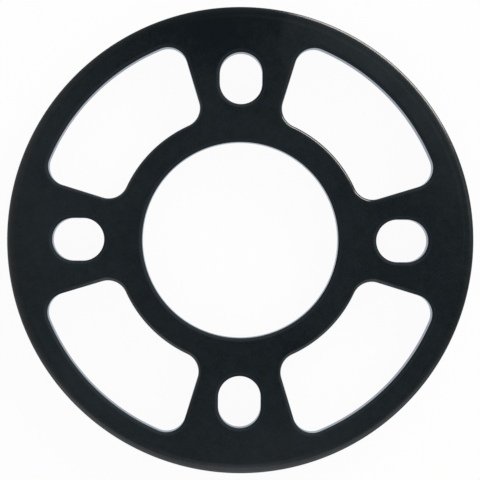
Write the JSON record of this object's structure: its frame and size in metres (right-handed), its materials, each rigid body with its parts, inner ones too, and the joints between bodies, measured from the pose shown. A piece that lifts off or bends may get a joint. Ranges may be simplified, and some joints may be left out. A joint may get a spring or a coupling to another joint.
{
  "type": "wheel spacer",
  "caption": "Flat round slip-on wheel spacer plate with a hub bore, radial stud slots and rounded lightening windows between its spokes; sets a wheel outwards on its hub.",
  "frame": {"origin": "centre of the hub bore on the lower face, on which the plate lies", "axes": "+Z along the bore, up out of the upper face; +X and +Y through two neighbouring stud slots"},
  "size_m": [0.16, 0.16, 0.0079],
  "materials": {
    "plate": "satin black anodised, with faint rolling grain"
  },
  "bodies": {
    "root": {"spacer_plate": "plate"}
  },
  "joints": []
}
